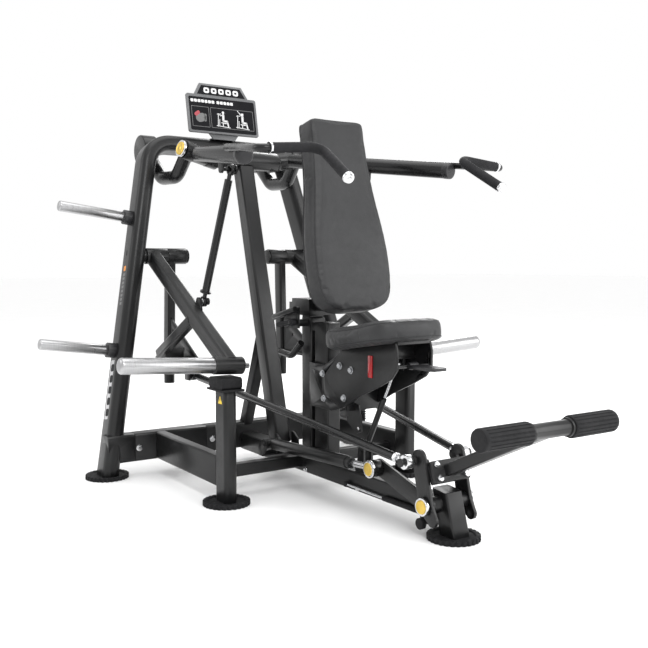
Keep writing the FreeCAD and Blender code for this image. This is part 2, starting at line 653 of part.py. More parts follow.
# ---- press arm ------------------------------------------------------------------------
def press_arm():
    bush = tube(press_point(PRESS_HUB_START), press_point(PRESS_HUB_END), BUSH_RADIUS,
                PRESS_SHAFT_RADIUS + RUN)
    export_both("press_bush", bush)

    hub = rod(press_point(PRESS_HUB_START), press_point(PRESS_HUB_END), PRESS_HUB_RADIUS)
    block = rod(press_point(64), press_point(PRESS_HUB_END), PRESS_HUB_RADIUS + 4)
    arm = rod(press_point(50), ARM_END, ARM_RADIUS)
    bow_start = press_point(84)
    bow = bent_rod([bow_start, V(-240, 1272, 1080), V(-243, 1402, 1084), V(-246, 1540, 1200)],
                   62, U_RADIUS)
    spot = arm_point((press_point(50).y - LINK_HIGH.y) / (press_point(50).y - ARM_END.y))
    lug = strap(LINK_HIGH, V(0, spot.y, spot.z - 8), 13, 16, spot.x + 4, spot.x + 12)
    pin = crosswise(spot.x + 4, LINK_HIGH.x + 16, LINK_HIGH, 6)
    head = crosswise(LINK_HIGH.x + 13, LINK_HIGH.x + 18, LINK_HIGH, 16)
    core = rod(press_point(-60), press_point(PRESS_HUB_END + 60), BUSH_RADIUS + RUN)
    way = (ARM_END - press_point(50)).normalize()
    end_cap = rod(ARM_END + way * 0.2, ARM_END + way * 7, ARM_RADIUS + 0.5)
    end_cap = rounded(end_cap, 3, lambda e: (e.CenterOfMass - ARM_END).Length > 5)
    whole = fuse([hub, block, arm, bow, lug, pin, head]).cut(core)
    weight = rod(V(-276, 1546, 1205), V(-216, 1546, 1205), 60)
    weight = rounded(weight, 5, lambda e: e.Length > 300)
    whole = whole.cut(weight)
    whole = max(whole.Solids, key=lambda s: s.Volume)
    export_both("press_arm", group([whole, end_cap, weight]))

    ring_spot = HANDLE_CORNER + (HANDLE_BEND - HANDLE_CORNER) * 0.18
    inside = HANDLE_CORNER + (HANDLE_BEND - HANDLE_CORNER) * 0.3
    bar = bent_rod([HANDLE_ROOT, HANDLE_CORNER, inside], 24, HANDLE_BAR_RADIUS)
    grips = bent_rod([ring_spot, HANDLE_BEND, HANDLE_TIP], 35, GRIP_RADIUS)
    arm_bar = rod(press_point(50), ARM_END + way * 7.2, ARM_RADIUS + 0.7)
    grips = fuse([grips, bar]).cut(arm_bar)
    grips = max(grips.Solids, key=lambda s: s.Volume)
    out = (HANDLE_TIP - HANDLE_BEND).normalize()
    cap = rod(HANDLE_TIP + out * 0.2, HANDLE_TIP + out * 9, 15.5)
    cap = rounded(cap, 2.5, lambda e: e.Length > 90)
    out = (HANDLE_CORNER - HANDLE_BEND).normalize()
    ring = tube(ring_spot + out * 0.2, ring_spot + out * 7, 15.5, HANDLE_BAR_RADIUS + 0.3)
    export_both("press_handle", group([grips, cap, ring]))


# ---- seat and backrest ----------------------------------------------------------------
def seat():
    column = box(-COLUMN_HALF_WIDE, COLUMN_HALF_WIDE, COLUMN_FRONT, COLUMN_REAR,
                 BEAM_HIGH + 0.2, COLUMN_TOP)
    column = rounded(column, 7, long_edges(V(0, 0, 1)))
    guide = box(-27, 27, GUIDE_FRONT, GUIDE_REAR, BEAM_HIGH + 0.2, COLUMN_TOP - 12)
    guide = rounded(guide, 7, long_edges(V(0, 0, 1)))
    web = box(-10, 10, GUIDE_REAR - 1, COLUMN_FRONT + 1, BEAM_HIGH + 0.2, 212)
    bridge = box(-27, 27, GUIDE_REAR - 10, COLUMN_FRONT + 10, COLUMN_TOP - 40, COLUMN_TOP - 14)
    sleeve = box(-46, 46, 664, 770, 585, 640)
    stand = box(-26, 26, 690, 736, COLUMN_TOP - 1, 590)
    slot = box(-20.5, 20.5, 600, 800, 600.5, 625.5)
    arm = box(-100, -29, 694, 730, 548, 570)
    cheek = flat([(644, 546), (644, 616), (676, 616), (736, 574), (736, 546)], -100, -94)
    stub = crosswise(-122, -94, V(0, 662, 604), 8)
    pin = crosswise(-126, -94, LEVER_PIVOT, 6)
    grip = rod(V(-114, 640, 609), V(-114, 776, 577), 10)
    parts = [column, guide, web, bridge, sleeve, stand, arm, cheek, stub, pin, grip]
    export("seat_column", fuse(parts).cut(slot))

    outline = [(622, 292), (622, 420), (545, 432), (470, 470), (445, 489), (178, 531),
               (170, 505), (170, 455), (196, 425), (250, 398), (357, 352), (440, 308), (500, 292)]
    cheek = flat(outline, -SEAT_PLATE_OUTER, -SEAT_PLATE_INNER)
    for y, z in ((548, 406), (541, 326)):
        cheek = cheek.cut(crosswise(-100, 0, V(0, y, z), 8))
    lever_pin = crosswise(-SEAT_PLATE_INNER - 1, SEAT_PLATE_INNER + 1, RELEASE_PIVOT, 5)
    export("seat_side_plates", fuse([cheek, lever_pin, mirror(cheek)]))

    rollers = []
    for y, z in ((548, 406), (541, 326)):
        rollers.append(crosswise(-SEAT_PLATE_INNER + 0.2, SEAT_PLATE_INNER - 0.2, V(0, y, z), 14))
    shell = box(-42, 42, 570, 667, 300, 430).cut(box(-27.6, 27.6, GUIDE_FRONT - 0.6, 660.8, 200, 600))
    wings = [box(s * 50 - 9.8, s * 50 + 9.8, 574, 610, 306, 424) for s in (-1, 1)]
    bridge_top = box(-59.8, 59.8, 240, 434, 476, 482)
    bridge_front = box(-59.8, 59.8, 424, 434, 300, 482)
    spine = [box(s * 30 - 5, s * 30 + 5, 430, 572, 316, 416) for s in (-1, 1)]
    gas_ears = [box(s * 16 - 4, s * 16 + 4, 240, 275, 442, 477) for s in (-1, 1)]
    gas_pin = crosswise(-22, 22, GAS_HIGH, 5)
    bridges = [bridge_top, bridge_front, gas_pin]
    carriage = fuse([shell] + wings + spine + bridges + gas_ears + rollers)

    bolts = []
    for y, z in ((548, 406), (452, 440), (393, 432), (541, 326), (430, 341)):
        bolts.append(crosswise(-SEAT_PLATE_OUTER - 9, -SEAT_PLATE_OUTER, V(0, y, z), 10))
    export("seat_bolts", group(bolts + [mirror(b) for b in bolts]))
    window = box(-SEAT_PLATE_OUTER - 3, -SEAT_PLATE_OUTER, 283, 303, 420, 486)
    export("seat_indicator", window)

    plan = [(-138, 0), (138, 0), (138, 240), (88, 334), (-88, 334), (-138, 240)]
    pad = slab(plan, 0, 62)
    pad = rounded(pad, 80, lambda e: e.Length < 63 and e.CenterOfMass.y < 10)
    board = slab([(-59.8, 20), (59.8, 20), (59.8, 262), (-59.8, 262)], -9, -0.4)
    pad, board = [seat_tilt(piece) for piece in (pad, board)]
    export("seat_pad", pad)
    over = seat_tilt(slab([(-200, -100), (200, -100), (200, 500), (-200, 500)], -8, 200))
    riser = box(-59.8, 59.8, 244, 414, 481, 560).cut(over)
    export("seat_carriage", fuse([carriage, board, riser]))

    hub = cross_bore(-16, 16, RELEASE_PIVOT, 11, 5 + RUN)
    half = [(-20, 186), (-32, 140), (-32, 78), (-22, 60)]
    paddle = slab(half + [(-x, y) for x, y in reversed(half)], 458, 466)
    paddle = fuse([hub, paddle]).cut(crosswise(-60, 60, RELEASE_PIVOT, 5 + RUN))
    export("seat_lever", paddle)

    way = (GAS_HIGH - GAS_LOW).normalize()
    low_eye = cross_bore(-10, 10, GAS_LOW, 10, 5 + RUN)
    cylinder = tube(GAS_LOW + way * 18, GAS_LOW + way * 195, 9, 4.5 + RUN)
    foot = rod(GAS_LOW + way * 7, GAS_LOW + way * 22, 6)
    cylinder = fuse([low_eye, cylinder, foot]).cut(crosswise(-60, 60, GAS_LOW, 5 + RUN))
    export("gas_spring_cylinder", cylinder)
    piston = rod(GAS_LOW + way * 110, GAS_HIGH - way * 10, 4.5)
    high_eye = cross_bore(-9, 9, GAS_HIGH, 13, 9.8)
    export("gas_spring_rod", fuse([piston, high_eye]).cut(crosswise(-60, 60, GAS_HIGH, 9.8)))


def seat_tilt(piece):
    tilted = piece.copy()
    tilted.rotate(V(0, 0, 0), X_AXIS, -SEAT_TILT)
    tilted.translate(V(0, 157, 538))
    return tilted


def backrest():
    lean = V(0, -124, -577).normalize()
    normal = V(0, 577, -124).normalize()
    widths = ((0, 101), (42, 105), (102, 108), (202, 115), (269, 124), (336, 135), (402, 144),
              (468, 146), (555, 141), (590, 125), (616, 96), (624, 80))
    top = V(0, 571, 1219)
    right = [top + lean * s - V(w, 0, 0) for s, w in widths]
    left = [top + lean * s + V(w, 0, 0) for s, w in reversed(widths)]
    points = right + left
    pad = Part.Face(Part.makePolygon(points + points[:1])).extrude(normal * 78)
    export("backrest_pad", pad)

    back = top + normal * 78.4
    board = beam(back + lean * 60, back + lean * 590, 150, 12, 2, X_AXIS).translated(normal * 6)
    spine = beam(back + lean * 280, back + lean * 585, 50, 40, 6, X_AXIS).translated(normal * 32)
    foot = box(-20, 20, 572, 830, 601, 625)
    outline = [(545, 655), (545, 601), (610, 601), (640, 690), (600, 700)]
    cheeks = [flat(outline, s * 16 - 4, s * 16 + 4) for s in (-1, 1)]
    export("backrest_frame", fuse([board, spine, foot] + cheeks))

    hub = cross_bore(-122, -104, LEVER_PIVOT, 12, 6 + RUN)
    grip = rod(V(-113, 662, 565.4), V(-113, 750, 553), 8.5)
    lever = fuse([hub, grip]).cut(crosswise(-140, -80, LEVER_PIVOT, 6 + RUN))
    export("adjuster_lever", lever)


def main():
    os.makedirs("parts", exist_ok=True)
    base()
    front_post()
    right = portal()
    centre_frame(right)
    pivots(right)
    fasteners()
    sign(right)
    foot_lever()
    foot_rod()
    damper()
    lift_lever()
    weight_arm()
    link()
    press_arm()
    seat()
    backrest()


main()
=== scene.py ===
import math

import bmesh
import bpy
from mathutils import Matrix, Vector


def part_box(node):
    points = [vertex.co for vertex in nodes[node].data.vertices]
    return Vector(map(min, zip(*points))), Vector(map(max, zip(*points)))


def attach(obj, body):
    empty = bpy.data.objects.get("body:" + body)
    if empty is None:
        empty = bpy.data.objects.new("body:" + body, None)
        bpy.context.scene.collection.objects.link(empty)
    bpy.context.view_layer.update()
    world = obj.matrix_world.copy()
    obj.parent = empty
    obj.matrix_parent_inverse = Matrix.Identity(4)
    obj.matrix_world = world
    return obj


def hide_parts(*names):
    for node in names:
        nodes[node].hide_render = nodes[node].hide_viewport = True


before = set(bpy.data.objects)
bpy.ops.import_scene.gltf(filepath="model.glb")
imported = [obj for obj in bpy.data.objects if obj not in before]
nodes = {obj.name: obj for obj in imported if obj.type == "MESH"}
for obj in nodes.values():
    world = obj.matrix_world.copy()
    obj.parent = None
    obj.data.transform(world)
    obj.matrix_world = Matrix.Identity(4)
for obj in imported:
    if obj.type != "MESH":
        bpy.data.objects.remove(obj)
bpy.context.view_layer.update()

# ---- places ---------------------------------------------------------------------------
# Positions are written in millimetres from the centre of the front foot disc, as the machine is
# built, and moved into the shared frame with that disc's own place.
FOOT_RADIUS = 0.075
FRONT_FOOT_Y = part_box("foot_discs")[0].y + FOOT_RADIUS
X, Y, Z = Vector((1, 0, 0)), Vector((0, 1, 0)), Vector((0, 0, 1))


def at(x, y, z):
    return Vector((x / 1000, y / 1000 + FRONT_FOOT_Y, z / 1000))


def flip(p):
    return Vector((-p.x, p.y, p.z))


# ---- materials ------------------------------------------------------------------------
class Shader:
    """A Principled material whose colour, roughness and bump come from procedural nodes."""

    def __init__(self, name):
        self.material = bpy.data.materials.new(name)
        self.material.use_nodes = True
        self.tree = self.material.node_tree
        self.surface = self.tree.nodes["Principled BSDF"]
        self.coords = self.node("ShaderNodeTexCoord").outputs["Object"]

    def node(self, kind, **values):
        made = self.tree.nodes.new(kind)
        for key, value in values.items():
            if hasattr(made, key):
                setattr(made, key, value)
            else:
                made.inputs[key.replace("_", " ")].default_value = value
        return made

    def join(self, a, b):
        self.tree.links.new(a, b)

    def stretched(self, scale):
        mapping = self.node("ShaderNodeMapping")
        mapping.inputs["Scale"].default_value = scale
        self.join(self.coords, mapping.inputs["Vector"])
        return mapping.outputs["Vector"]

    def noise(self, scale, detail=3.0, where=None, rough=0.55):
        made = self.node("ShaderNodeTexNoise", Scale=scale, Detail=detail, Roughness=rough)
        self.join(where or self.coords, made.inputs["Vector"])
        return made.outputs["Fac"]

    def cells(self, scale, feature="F1", where=None):
        made = self.node("ShaderNodeTexVoronoi", Scale=scale)
        made.feature = feature
        self.join(where or self.coords, made.inputs["Vector"])
        return made.outputs["Distance"]

    def ramp(self, source, low, high, start=0.3, end=0.7):
        made = self.node("ShaderNodeMapRange")
        made.inputs["From Min"].default_value = start
        made.inputs["From Max"].default_value = end
        made.inputs["To Min"].default_value = low
        made.inputs["To Max"].default_value = high
        self.join(source, made.inputs["Value"])
        return made.outputs["Result"]

    def colour(self, source, dark, light, start=0.3, end=0.7):
        made = self.node("ShaderNodeValToRGB")
        made.color_ramp.elements[0].position = start
        made.color_ramp.elements[1].position = end
        made.color_ramp.elements[0].color = (*dark, 1)
        made.color_ramp.elements[1].color = (*light, 1)
        self.join(source, made.inputs["Fac"])
        self.join(made.outputs["Color"], self.surface.inputs["Base Color"])

    def rough(self, source, low, high, start=0.3, end=0.7):
        self.join(self.ramp(source, low, high, start, end), self.surface.inputs["Roughness"])

    def bump(self, source, strength, distance):
        made = self.node("ShaderNodeBump", Strength=strength, Distance=distance)
        self.join(source, made.inputs["Height"])
        before = self.surface.inputs["Normal"]
        if before.is_linked:
            self.join(before.links[0].from_socket, made.inputs["Normal"])
        self.join(made.outputs["Normal"], before)


def powder_coat(name, dark, light, gloss):
    s = Shader(name)
    s.colour(s.noise(7.0, 5.0), dark, light)
    s.rough(s.noise(60.0, 4.0), gloss - 0.04, gloss + 0.05)
    s.bump(s.noise(900.0, 2.0), 0.05, 0.0003)
    s.bump(s.noise(120.0, 2.0), 0.04, 0.0006)
    s.surface.inputs["Specular IOR Level"].default_value = 0.36
    return s.material


def polished(name, dark, light, rough):
    s = Shader(name)
    s.surface.inputs["Metallic"].default_value = 1.0
    s.colour(s.noise(30.0, 4.0), dark, light)
    s.rough(s.noise(40.0, 3.0), rough - 0.02, rough + 0.04)
    s.bump(s.noise(60.0, 2.0), 0.02, 0.0003)
    return s.material


def brushed(name, dark, light, rough):
    """Turned steel: fine marks round the bar, so they are stretched across its length."""
    s = Shader(name)
    s.surface.inputs["Metallic"].default_value = 1.0
    marks = s.noise(1.0, 3.0, s.stretched((420.0, 9.0, 9.0)))
    s.colour(marks, dark, light, 0.25, 0.75)
    s.rough(s.noise(1.0, 3.0, s.stretched((160.0, 8.0, 8.0))), rough - 0.03, rough + 0.05)
    s.bump(marks, 0.02, 0.0001)
    return s.material


def rubber(name, dark, light, grain):
    s = Shader(name)
    s.colour(s.noise(18.0, 6.0), dark, light)
    s.rough(s.noise(90.0, 4.0), 0.62, 0.8)
    s.bump(s.noise(grain, 3.0), 0.25, 0.0005)
    s.surface.inputs["Specular IOR Level"].default_value = 0.2
    return s.material


def leather(name, dark, light):
    """Smooth upholstery vinyl: fine pebbled cells over a soft mottling."""
    s = Shader(name)
    warped = s.stretched((1.0, 1.0, 1.0))
    s.colour(s.noise(9.0, 5.0), dark, light, 0.25, 0.75)
    s.rough(s.noise(55.0, 4.0), 0.42, 0.56)
    s.bump(s.cells(620.0, "SMOOTH_F1", warped), 0.22, 0.0005)
    s.bump(s.noise(2400.0, 2.0), 0.08, 0.0002)
    s.surface.inputs["Specular IOR Level"].default_value = 0.28
    s.surface.inputs["Sheen Weight"].default_value = 0.04
    s.surface.inputs["Coat Weight"].default_value = 0.06
    s.surface.inputs["Coat Roughness"].default_value = 0.4
    return s.material


def plastic(name, dark, light, rough, grain=1100.0, shine=0.5):
    s = Shader(name)
    s.colour(s.noise(22.0, 4.0), dark, light)
    s.rough(s.noise(120.0, 3.0), rough - 0.05, rough + 0.06)
    s.bump(s.noise(grain, 2.0), 0.08, 0.0003)
    s.surface.inputs["Specular IOR Level"].default_value = shine
    return s.material


def printed(name, dark, light):
    s = Shader(name)
    s.colour(s.noise(260.0, 3.0), dark, light, 0.2, 0.8)
    s.rough(s.noise(200.0, 2.0), 0.4, 0.5)
    s.bump(s.noise(1800.0, 1.0), 0.04, 0.0001)
    return s.material


PAINT = powder_coat("frame_powder_coat", (0.0060, 0.0061, 0.0064), (0.0095, 0.0096, 0.0100), 0.32)
ARM_PAINT = powder_coat("arm_powder_coat", (0.0050, 0.0051, 0.0054), (0.0080, 0.0081, 0.0085), 0.24)
CHROME = polished("polished_chrome", (0.60, 0.61, 0.62), (0.72, 0.72, 0.73), 0.16)
STEEL = brushed("turned_steel", (0.38, 0.38, 0.39), (0.48, 0.48, 0.48), 0.30)
ZINC = polished("zinc_plate", (0.36, 0.37, 0.38), (0.52, 0.53, 0.55), 0.28)
FOOT_RUBBER = rubber("foot_rubber", (0.008, 0.008, 0.009), (0.015, 0.015, 0.016), 700.0)
ROLLER_RUBBER = rubber("roller_rubber", (0.011, 0.011, 0.012), (0.019, 0.019, 0.020), 900.0)
GRIP_RUBBER = rubber("grip_rubber", (0.010, 0.010, 0.011), (0.017, 0.017, 0.019), 1300.0)
SMOOTH_PLASTIC = plastic("moulded_plastic", (0.009, 0.009, 0.010), (0.016, 0.016, 0.018), 0.42)
LEATHER = leather("pad_leather", (0.0185, 0.0187, 0.0195), (0.0285, 0.0288, 0.0300))
PIPING = leather("pad_piping", (0.009, 0.009, 0.010), (0.015, 0.015, 0.016))
CAP_YELLOW = polished("cap_brass_yellow", (0.62, 0.42, 0.08), (0.78, 0.56, 0.14), 0.30)
SIGN_GREY = plastic("sign_grey", (0.095, 0.097, 0.100), (0.130, 0.132, 0.136), 0.42)
SIGN_BLACK = plastic("sign_black", (0.003, 0.003, 0.004), (0.007, 0.007, 0.009), 0.45, shine=0.12)
PRINT_WHITE = printed("print_white", (0.55, 0.55, 0.55), (0.72, 0.72, 0.72))
PRINT_GREY = printed("print_grey", (0.10, 0.10, 0.10), (0.17, 0.17, 0.17))
PRINT_RED = printed("print_red", (0.26, 0.03, 0.04), (0.45, 0.07, 0.09))
PRINT_ORANGE = printed("print_orange", (0.60, 0.20, 0.02), (0.80, 0.30, 0.05))
PRINT_YELLOW = printed("print_yellow", (0.75, 0.50, 0.03), (0.90, 0.65, 0.06))
LABEL_SILVER = printed("label_silver", (0.42, 0.42, 0.43), (0.58, 0.58, 0.59))
WINDOW_RED = plastic("window_red", (0.22, 0.006, 0.008), (0.40, 0.012, 0.014), 0.18)


# ---- frame nodes: softened edges and finishes --------------------------------------------
def soften(node, width, angle=38):
    o = nodes[node]
    o.data.shade_smooth()
    weld = o.modifiers.new("weld", "WELD")
    weld.merge_threshold = 0.00002
    bevel = o.modifiers.new("edge", "BEVEL")
    bevel.width = width
    bevel.segments = 2
    bevel.limit_method = "ANGLE"
    bevel.angle_limit = math.radians(angle)
    bevel.use_clamp_overlap = True
    bevel.harden_normals = True
    return o


def paint(node, *choices):
    """choices are (material, test); a face takes the last one whose test its centre passes."""
    data = nodes[node].data
    data.materials.clear()
    for material, _ in choices:
        data.materials.append(material)
    for face in data.polygons:
        for i, (_, test) in enumerate(choices):
            if test is None or test(face.center):
                face.material_index = i


FRAME_PAINTED = ("main_beam", "rear_crossbeam", "side_rails", "cross_struts", "side_posts", "front_post",
                 "upright_right", "upright_left", "centre_upright", "press_cross_tube", "rear_brace",
                 "seat_column", "seat_carriage", "seat_side_plates", "backrest_frame",
                 "foot_lever_plates", "foot_bar_stem", "lift_lever_right", "lift_lever_left",
                 "weight_arm_right", "weight_arm_left", "damper_body", "gas_spring_cylinder")
for name in FRAME_PAINTED:
    soften(name, 0.0016)
    paint(name, (PAINT, None))
for name in ("link_rod_right", "link_rod_left", "press_arm_right", "press_arm_left", "press_bush_right",
             "press_bush_left", "press_handle_right", "press_handle_left", "pivot_shafts"):
    soften(name, 0.0010)
    paint(name, (ARM_PAINT, None))
for name in ("link_ball_right", "link_ball_left", "bearing_rings", "gas_spring_rod", "flange_bolts"):
    soften(name, 0.0006)
    paint(name, (CHROME, None))
for name in ("storage_horns", "loading_horn_right", "loading_horn_left"):
    soften(name, 0.0008)
    paint(name, (STEEL, None))
for name in ("foot_discs", "post_saddles"):
    soften(name, 0.0008)
    paint(name, (FOOT_RUBBER, None))
for name in ("horn_collars", "seat_lever"):
    soften(name, 0.0012)
    paint(name, (SMOOTH_PLASTIC, None))
for name in ("sign_bracket", "sign_panel"):
    soften(name, 0.0010)
    paint(name, (SIGN_GREY, None))
soften("bearing_caps", 0.0010)
paint("bearing_caps", (CAP_YELLOW, None))
soften("adjuster_lever", 0.0014)
paint("adjuster_lever", (GRIP_RUBBER, None))
soften("seat_indicator", 0.0005)
paint("seat_indicator", (WINDOW_RED, None))

# the thin rod of each lever stop is bare, its cylinder and buffer are dark
STOP_ROD_FRONT, STOP_ROD_REAR = at(0, 258, 0).y, at(0, 438, 0).y
soften("lever_stop_buffers", 0.0006)
paint("lever_stop_buffers", (FOOT_RUBBER, None),
      (CHROME, lambda p: STOP_ROD_FRONT < p.y < STOP_ROD_REAR))

# the ball joint at the front of each foot rod is plated, the rod itself painted
JOINT_REACH = at(0, 128, 0).y
for name in ("foot_rod_right", "foot_rod_left"):
    soften(name, 0.0010)
    paint(name, (ARM_PAINT, None), (CHROME, lambda p: p.y < JOINT_REACH))
PISTON_END = at(0, 281, 0).y
soften("damper_rod", 0.0006)
paint("damper_rod", (CHROME, None), (ARM_PAINT, lambda p: p.y < PISTON_END))
DAMPER_PIN = at(-84, 252, 158)
CAP_RADIUS = 0.0197
soften("damper_pin_cap", 0.0006)
paint("damper_pin_cap", (CHROME, None),
      (CAP_YELLOW, lambda p: math.hypot(p.y - DAMPER_PIN.y, p.z - DAMPER_PIN.z) < CAP_RADIUS))


# ---- mesh helpers ---------------------------------------------------------------------
def add(name, verts, faces, material, body, smooth=True, edge=0.0):
    mesh = bpy.data.meshes.new(name)
    mesh.from_pydata([tuple(v) for v in verts], [], faces)
    mesh.validate()
    o = bpy.data.objects.new(name, mesh)
    bpy.context.scene.collection.objects.link(o)
    mesh.materials.append(material)
    fixed = bmesh.new()
    fixed.from_mesh(mesh)
    bmesh.ops.recalc_face_normals(fixed, faces=fixed.faces)
    fixed.to_mesh(mesh)
    fixed.free()
    if smooth:
        mesh.shade_smooth()
        mesh.set_sharp_from_angle(angle=math.radians(40))
    if edge:
        bevel = o.modifiers.new("edge", "BEVEL")
        bevel.width = edge
        bevel.segments = 2
        bevel.limit_method = "ANGLE"
        bevel.angle_limit = math.radians(35)
    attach(o, body)
    return o


def basis(way, hint=Z):
    way = way.normalized()
    if abs(way.dot(hint)) > 0.95:
        hint = X
    side = way.cross(hint).normalized()
    return side, side.cross(way).normalized(), way


def lathe(name, start, way, profile, material, body, steps=48, edge=0.0):
    """Turned piece: profile is (distance along way, radius) in millimetres, closed at both ends."""
    side, up, way = basis(way)
    verts, faces = [], []
    for along, radius in profile:
        for i in range(steps):
            turn = 2 * math.pi * i / steps
            out = side * math.cos(turn) + up * math.sin(turn)
            verts.append(start + way * along / 1000 + out * max(radius, 0.01) / 1000)
    for k in range(len(profile) - 1):
        for i in range(steps):
            j = (i + 1) % steps
            faces.append((k * steps + i, k * steps + j, (k + 1) * steps + j, (k + 1) * steps + i))
    faces.append(tuple(reversed(range(steps))))
    faces.append(tuple(range((len(profile) - 1) * steps, len(profile) * steps)))
    return add(name, verts, faces, material, body, edge=edge)


def bent(points, bend, step=6):
    """Points along straight runs joined by tangent arcs of one radius, in metres."""
    path = [points[0]]
    for before, corner, after in zip(points, points[1:], points[2:]):
        enter, leave = (before - corner).normalized(), (after - corner).normalized()
        half = enter.angle(leave) / 2
        centre = corner + (enter + leave).normalized() * bend / math.sin(half)
        first = corner + enter * bend / math.tan(half) - centre
        last = corner + leave * bend / math.tan(half) - centre
        turn = first.angle(last)
        axis = first.cross(last).normalized()
        count = max(3, int(math.degrees(turn) / step))
        path += [centre + Matrix.Rotation(turn * i / count, 3, axis) @ first for i in range(count + 1)]
    return path + [points[-1]]


def sweep(name, path, section, material, body, steps=32):
    """Tube along a path; section(length so far in mm) gives the radius in millimetres."""
    verts, faces = [], []
    side = basis(path[1] - path[0])[0]
    gone = 0.0
    for k, p in enumerate(path):
        ahead = path[min(k + 1, len(path) - 1)] - path[max(k - 1, 0)]
        way = ahead.normalized()
        side = (side - way * side.dot(way)).normalized()
        up = way.cross(side)
        gone += (p - path[k - 1]).length * 1000 if k else 0
        radius = section(gone) / 1000
        for i in range(steps):
            turn = 2 * math.pi * i / steps
            verts.append(p + (side * math.cos(turn) + up * math.sin(turn)) * radius)
    for k in range(len(path) - 1):
        for i in range(steps):
            j = (i + 1) % steps
            faces.append((k * steps + i, k * steps + j, (k + 1) * steps + j, (k + 1) * steps + i))
    faces += [tuple(reversed(range(steps))), tuple(range((len(path) - 1) * steps, len(path) * steps))]
    return add(name, verts, faces, material, body)


def refine(path, step):
    """The same path with a point at least every step metres."""
    out = [path[0]]
    for a, b in zip(path, path[1:]):
        count = max(1, math.ceil((b - a).length / step))
        out += [a.lerp(b, i / count) for i in range(1, count + 1)]
    return out


def prism(outline, depth, origin, side, up, out):
    """Corners and faces of a thin plate; outline is (u, v) in millimetres on side and up."""
    count = len(outline)
    verts = [origin + side * u / 1000 + up * v / 1000 + out * d / 1000
             for d in (0, depth) for u, v in outline]
    faces = [tuple(reversed(range(count))), tuple(range(count, 2 * count))]
    faces += [(i, (i + 1) % count, count + (i + 1) % count, count + i) for i in range(count)]
    return verts, faces


def plate(name, outlines, depth, origin, side, up, out, material, body, edge=0.0):
    verts, faces = [], []
    for outline in outlines:
        v, f = prism(outline, depth, origin, side, up, out)
        faces += [tuple(i + len(verts) for i in face) for face in f]
        verts += v
    return add(name, verts, faces, material, body, smooth=False, edge=edge)


def arc(cx, cy, radius, start, end, steps):
    angles = [math.radians(start + (end - start) * i / steps) for i in range(steps + 1)]
    return [(cx + radius * math.cos(a), cy + radius * math.sin(a)) for a in angles]


def rounded_box(u0, u1, v0, v1, r):
    return (arc(u1 - r, v0 + r, r, -90, 0, 5) + arc(u1 - r, v1 - r, r, 0, 90, 5)
            + arc(u0 + r, v1 - r, r, 90, 180, 5) + arc(u0 + r, v0 + r, r, 180, 270, 5))


def stroke(u0, v0, u1, v1, width):
    """A round-ended bar between two points."""
    along = math.degrees(math.atan2(v1 - v0, u1 - u0))
    far_end = arc(u1, v1, width / 2, along - 90, along + 90, 6)
    return far_end + arc(u0, v0, width / 2, along + 90, along + 270, 6)


def islands(node):
    """Centre and box of each separate solid in a CAD node."""
    bm = bmesh.new()
    bm.from_mesh(nodes[node].data)
    bmesh.ops.remove_doubles(bm, verts=bm.verts, dist=0.00002)
    left = set(bm.verts)
    found = []
    while left:
        stack = [left.pop()]
        group = []
        while stack:
            v = stack.pop()
            group.append(v.co.copy())
            for e in v.link_edges:
                w = e.other_vert(v)
                if w in left:
                    left.remove(w)
                    stack.append(w)
        low = Vector([min(p[i] for p in group) for i in range(3)])
        high = Vector([max(p[i] for p in group) for i in range(3)])
        found.append((low, high))
    bm.free()
    return sorted(found, key=lambda b: tuple(round(c, 4) for c in b[0]))


# ---- bolts ----------------------------------------------------------------------------
def hex_bolt(name, seat, way, radius, material, body):
    """Washer and hexagon head with a chamfered top, standing on seat along way."""
    side, up, way = basis(way)
    washer = [(0, radius * 1.15), (1.6, radius * 1.15), (1.9, radius * 1.05), (1.9, radius * 0.2)]
    lathe(name + "_washer", seat, way, washer, material, body, 32)
    verts, faces = [], []
    rings = ((1.6, 0.92), (6.6, 0.92), (7.8, 0.80))
    for along, scale in rings:
        for i in range(6):
            turn = math.pi / 3 * i
            out = side * math.cos(turn) + up * math.sin(turn)
            verts.append(seat + way * along / 1000 + out * radius * scale / 1000)
    for k in range(2):
        for i in range(6):
            j = (i + 1) % 6
            faces.append((k * 6 + i, k * 6 + j, k * 6 + 6 + j, k * 6 + 6 + i))
    faces += [tuple(reversed(range(6))), tuple(range(12, 18))]
    return add(name + "_head", verts, faces, material, body, smooth=False, edge=0.0004)


def bolt_set(node, body, material):
    """One bolt for each solid of the node, on the side away from what it holds."""
    for i, (low, high) in enumerate(islands(node)):
        size = high - low
        centre = (low + high) / 2
        thin = min(range(3), key=lambda k: size[k])
        radius = max(size) * 500
        way = Vector([0, 0, 0])
        holder_middle = BOLT_INSIDE[node](centre)
        way[thin] = 1 if centre[thin] > holder_middle[thin] else -1
        seat = centre - way * size[thin] / 2
        head = hex_bolt(f"{node}_{i}", seat, way, radius, material, body)
        if i == 0:
            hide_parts(node)


CROSSBEAM_LOW, CROSSBEAM_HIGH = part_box("rear_crossbeam")
CROSSBEAM_MIDDLE_Y = (CROSSBEAM_LOW.y + CROSSBEAM_HIGH.y) / 2


BOLT_INSIDE = {
    "frame_bolts": lambda p: Vector((0, CROSSBEAM_MIDDLE_Y, 0)),
    "seat_bolts": lambda p: Vector((0, 0, 0)),
}
bolt_set("frame_bolts", "frame", CHROME)
bolt_set("seat_bolts", "seat", ZINC)


